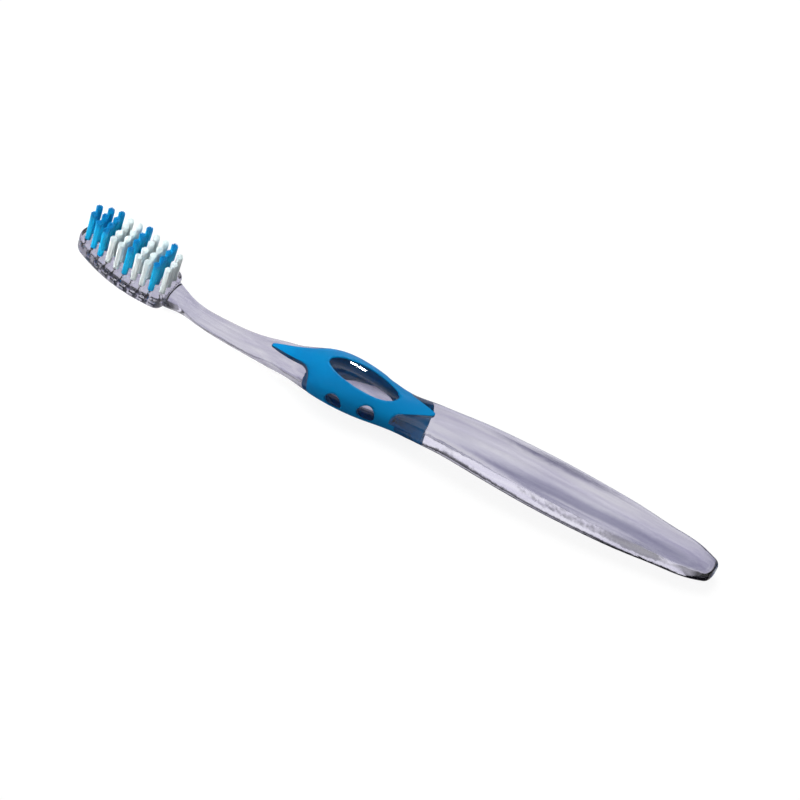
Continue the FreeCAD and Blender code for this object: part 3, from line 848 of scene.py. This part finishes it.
@dataclass
class Studio:
    """The white table, the light tent round it and the lamps.

    Clear and shiny surfaces see grey and white cards on the table, and rings and panels of cloth in
    the tent. The cards run along the brush, each with stops across it. The sky and the panels have
    their stops in height, from 0 straight down to 1 straight up. What only lights a matt surface is
    plainer: grey paint below, and a soft light that grows towards the top.
    """

    floor_half: float = 3.0
    floor_paint: Colour = (0.30, 0.30, 0.30, 1.0)
    floor_glow: float = 1.0
    floor_white: float = 0.88
    floor_shadow: Colour = (0.16, 0.16, 0.16, 1.0)
    cards_reach: Span = (-0.03, 0.03)
    cards_cool: float = 0.45
    head_card: Stops = ((-0.030, 0.6), (-0.021, 0.6), (-0.018, 0.05), (-0.016, 0.05),
                        (-0.006, 0.85), (0.018, 0.85), (0.022, 0.3), (0.026, 0.3), (0.030, 0.6))
    neck_card: Stops = ((-0.012, 0.6), (-0.009, 0.05), (-0.0050, 0.05), (-0.0030, 1.0),
                        (0.0035, 1.0), (0.0045, 0.85), (0.0052, 0.45), (0.0062, 0.45),
                        (0.0072, 0.85), (0.0120, 0.8), (0.0160, 0.05), (0.018, 0.05), (0.022, 0.6))
    grip_card: Stops = ((-0.030, 0.6), (-0.018, 0.05), (0.0010, 0.05), (0.0021, 0.5), (0.0028, 0.8),
                        (0.0040, 0.6), (0.0052, 0.05), (0.014, 0.05), (0.018, 0.6))
    palm_card: Stops = ((-0.012, 0.6), (-0.009, 0.05), (-0.0035, 0.05), (-0.0015, 1.0),
                        (0.0002, 0.95), (0.0012, 0.45), (0.0024, 0.45), (0.0034, 0.85),
                        (0.0044, 1.0), (0.0055, 1.0), (0.0060, 0.3), (0.0065, 0.3), (0.0070, 0.7),
                        (0.0080, 0.7), (0.0095, 0.05), (0.014, 0.05), (0.018, 0.6))
    head_ends: Span = (-0.062, -0.050)
    neck_ends: Span = (-0.026, -0.022)
    grip_ends: Span = (0.001, 0.005)
    sky_gain: float = 1.4
    sky: Stops = ((0.50, 0.06), (0.80, 0.09), (0.86, 0.40), (0.893, 0.35), (0.903, 0.92),
                  (0.93, 0.95), (0.942, 0.22), (0.955, 0.06), (0.966, 0.06), (0.976, 0.6),
                  (1.0, 0.6))
    back_panel: Stops = ((0.50, 0.30), (0.53, 0.30), (0.56, 0.0), (0.60, 0.0))
    back_edge: Span = (0.3, 0.6)
    front_panel: Stops = ((0.50, 0.50), (0.58, 0.50), (0.66, 0.55), (0.78, 0.55), (0.84, 0.0))
    front_edge: Span = (-0.20, -0.05)
    soft: Span = (0.12, 0.57)
    soft_through: float = 2.2
    lamps: tuple[Lamp, ...] = (
        Lamp("key", place=(-0.18, 0.30, 0.85), power=4.6, size=0.50),
        Lamp("head_fill", place=(-0.20, -0.30, 0.32), power=0.027, size=0.08,
             aim=(-0.082, 0.0, 0.014), spread=math.radians(13.0)),
        Lamp("spark", place=(-0.043, 0.132, 0.070), power=0.0008, size=0.022,
             aim=(-0.010, 0.0, 0.010), spread=math.radians(12.0), shows=True),
    )

    def floor(self, ground: float) -> bpy.types.Object:
        """Lay the table.

        Args:
            ground: The height that the brush stands on.

        Returns:
            The table's object.
        """
        half = self.floor_half
        corners = [(-half, -half, ground), (half, -half, ground), (half, half, ground),
                   (-half, half, ground)]
        mesh = bpy.data.meshes.new("table")
        mesh.from_pydata(corners, [], [(0, 1, 2, 3)])
        mesh.materials.append(self.floor_finish())
        table = bpy.data.objects.new("table", mesh)
        bpy.context.scene.collection.objects.link(table)
        table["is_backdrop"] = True
        return table

    @staticmethod
    def lights(graph: Graph) -> bpy.types.NodeSocket:
        """Whether a ray has left a matt surface, so that what it meets only lights that surface."""
        return graph.math("MINIMUM", graph.add("ShaderNodeLightPath").outputs["Diffuse Depth"], 1.0)

    def cards(self, graph: Graph) -> bpy.types.NodeSocket:
        """The cards that lie on the table, one after the other from the toe.

        Args:
            graph: The table's graph.

        Returns:
            Their colour.
        """
        split = graph.add("ShaderNodeSeparateXYZ")
        graph.join(graph.add("ShaderNodeTexCoord").outputs["Object"], split.inputs[0])
        along, across = split.outputs["X"], split.outputs["Y"]
        cards = graph.grade(across, self.cards_reach, self.head_card, self.cards_cool)
        for ends, card in ((self.head_ends, self.neck_card), (self.neck_ends, self.grip_card),
                           (self.grip_ends, self.palm_card)):
            after = graph.grade(across, self.cards_reach, card, self.cards_cool)
            cards = graph.blend(graph.spread(along, ends, RISING), cards, after)
        return cards

    def floor_finish(self) -> bpy.types.Material:
        """White laminate with the brush's shadow on it.

        The camera sees it white, clear and shiny surfaces see the cards, and matt ones are lit by
        grey paint.

        Returns:
            The material.
        """
        material = bpy.data.materials.new("white_table")
        material.use_nodes = True
        graph = Graph(material.node_tree)
        graph.tree.nodes.clear()
        seen = graph.add("ShaderNodeLightPath").outputs["Is Camera Ray"]
        paint = graph.add("ShaderNodeBsdfDiffuse")
        paint.inputs["Color"].default_value = self.floor_paint
        shade = graph.add("ShaderNodeBsdfDiffuse")
        graph.join(graph.blend(seen, BLACK, self.floor_shadow), shade.inputs["Color"])
        white = (self.floor_white,) * 3 + (1.0,)
        glow = graph.add("ShaderNodeEmission")
        graph.join(graph.blend(seen, self.cards(graph), white), glow.inputs["Color"])
        glow.inputs["Strength"].default_value = self.floor_glow
        both = graph.add("ShaderNodeAddShader")
        graph.join(shade.outputs[0], both.inputs[0])
        graph.join(glow.outputs[0], both.inputs[1])
        pick = graph.add("ShaderNodeMixShader")
        graph.join(self.lights(graph), pick.inputs[0])
        graph.join(both.outputs[0], pick.inputs[1])
        graph.join(paint.outputs[0], pick.inputs[2])
        graph.join(pick.outputs[0], graph.add("ShaderNodeOutputMaterial").inputs["Surface"])
        return material

    def cloth(self, graph: Graph, split: bpy.types.Node) -> bpy.types.NodeSocket:
        """The rings of the tent, and the panels that hang in it behind and in front.

        Args:
            graph: The world's graph.
            split: The parts of the direction.

        Returns:
            The level at which clear and shiny surfaces see them.
        """
        height = graph.spread(split.outputs["Z"], WHOLE_SKY, RISING)
        level = graph.grade(height, RISING, self.sky)
        for edge, side, panel in ((self.back_edge, RISING, self.back_panel),
                                  (self.front_edge, FALLING, self.front_panel)):
            hung = graph.math("MULTIPLY", graph.spread(split.outputs["Y"], edge, side),
                              graph.grade(height, RISING, panel))
            level = graph.math("MAXIMUM", level, hung)
        return level

    def tent(self) -> None:
        """Hang the tent over the table, white where the camera looks at it."""
        world = bpy.data.worlds.new("tent")
        bpy.context.scene.world = world
        world.use_nodes = True
        graph = Graph(world.node_tree)
        graph.tree.nodes.clear()
        split = graph.add("ShaderNodeSeparateXYZ")
        graph.join(graph.add("ShaderNodeTexCoord").outputs["Generated"], split.inputs[0])
        lights = self.lights(graph)
        through = graph.add("ShaderNodeLightPath").outputs["Is Transmission Ray"]
        soft = graph.math("MULTIPLY", graph.spread(split.outputs["Z"], RISING, self.soft),
                          graph.spread(through, RISING, (1.0, self.soft_through)))
        lit = graph.add("ShaderNodeBackground")
        graph.join(graph.blend(lights, self.cloth(graph, split), soft), lit.inputs["Color"])
        graph.join(graph.spread(lights, RISING, (self.sky_gain, 1.0)), lit.inputs["Strength"])
        white = graph.add("ShaderNodeBackground")
        white.inputs["Color"].default_value = WHITE
        pick = graph.add("ShaderNodeMixShader")
        graph.join(graph.add("ShaderNodeLightPath").outputs["Is Camera Ray"], pick.inputs[0])
        graph.join(lit.outputs[0], pick.inputs[1])
        graph.join(white.outputs[0], pick.inputs[2])
        graph.join(pick.outputs[0], graph.add("ShaderNodeOutputWorld").inputs["Surface"])

    def build(self, ground: float) -> None:
        """Set up the table, the tent and the lamps.

        Args:
            ground: The height that the brush stands on.
        """
        self.floor(ground)
        self.tent()
        for lamp in self.lamps:
            lamp.build()
        bpy.context.scene.view_settings.view_transform = "Standard"


@dataclass
class Camera:
    """A long lens that looks down at the brush, placed from one fit of the photograph.

    The fit's own axes lean against those of the part by a small angle about the width.
    """

    azimuth: float = math.radians(25.7)
    elevation: float = math.radians(48.7)
    roll: float = math.radians(7.3)
    distance: float = 0.9
    focal_pixels: float = 3537.0
    image: int = 800
    centre: Flat = (388.4, 404.1)
    sensor: float = 36.0
    lean: float = math.radians(1.011)
    pivot: Flat = (0.0410, 0.0067)
    offset: float = 0.040989
    nearest: float = 0.01

    def to_part(self, vector: Vector) -> Vector:
        """Turn a direction of the fit into the frame of the part."""
        return Matrix.Rotation(self.lean, 3, "Y") @ vector

    def build(self) -> None:
        """Set the camera up and make it the scene's."""
        side, rise = self.azimuth, self.elevation
        back = Vector((math.sin(side) * math.cos(rise), -math.cos(side) * math.cos(rise),
                       math.sin(rise)))
        right = Vector((math.cos(side), math.sin(side), 0.0))
        up = back.cross(right)
        turned_right = math.cos(self.roll) * right + math.sin(self.roll) * up
        turned_up = math.cos(self.roll) * up - math.sin(self.roll) * right
        axes = [self.to_part(axis) for axis in (turned_right, turned_up, back)]
        eye = back * self.distance + Vector((self.pivot[0], 0.0, self.pivot[1]))
        place = self.to_part(eye) - Vector((self.offset, 0.0, 0.0))
        pose = Matrix(axes).transposed().to_4x4()
        pose.translation = place
        data = bpy.data.cameras.new("photo")
        data.sensor_width = self.sensor
        data.lens = self.focal_pixels * self.sensor / self.image
        data.shift_x = 0.5 - self.centre[0] / self.image
        data.shift_y = self.centre[1] / self.image - 0.5
        data.clip_start = self.nearest
        camera = bpy.data.objects.new("photo", data)
        camera.matrix_world = pose
        bpy.context.scene.collection.objects.link(camera)
        bpy.context.scene.camera = camera


def main() -> None:
    """Dress each sub-assembly in order, then set the studio and the camera."""
    cad_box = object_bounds()
    axes = HeadFrame(tilt=HEAD_TILT, toe=HEAD_TOE)
    effects = Effects(axes.tilt, axes.toe)
    for assembly in (Handle(), GripSleeve(), Anchors(), TuftField(axes)):
        built = assembly.build(effects)
        pieces = built if isinstance(built, list) else [built]
        for piece in pieces:
            LOG.info("%s: %d faces", piece.name, len(piece.data.polygons))
    Studio().build(cad_box[0].z)
    Camera().build()


if __name__ == "__main__":
    logging.basicConfig(level=logging.INFO)
    main()
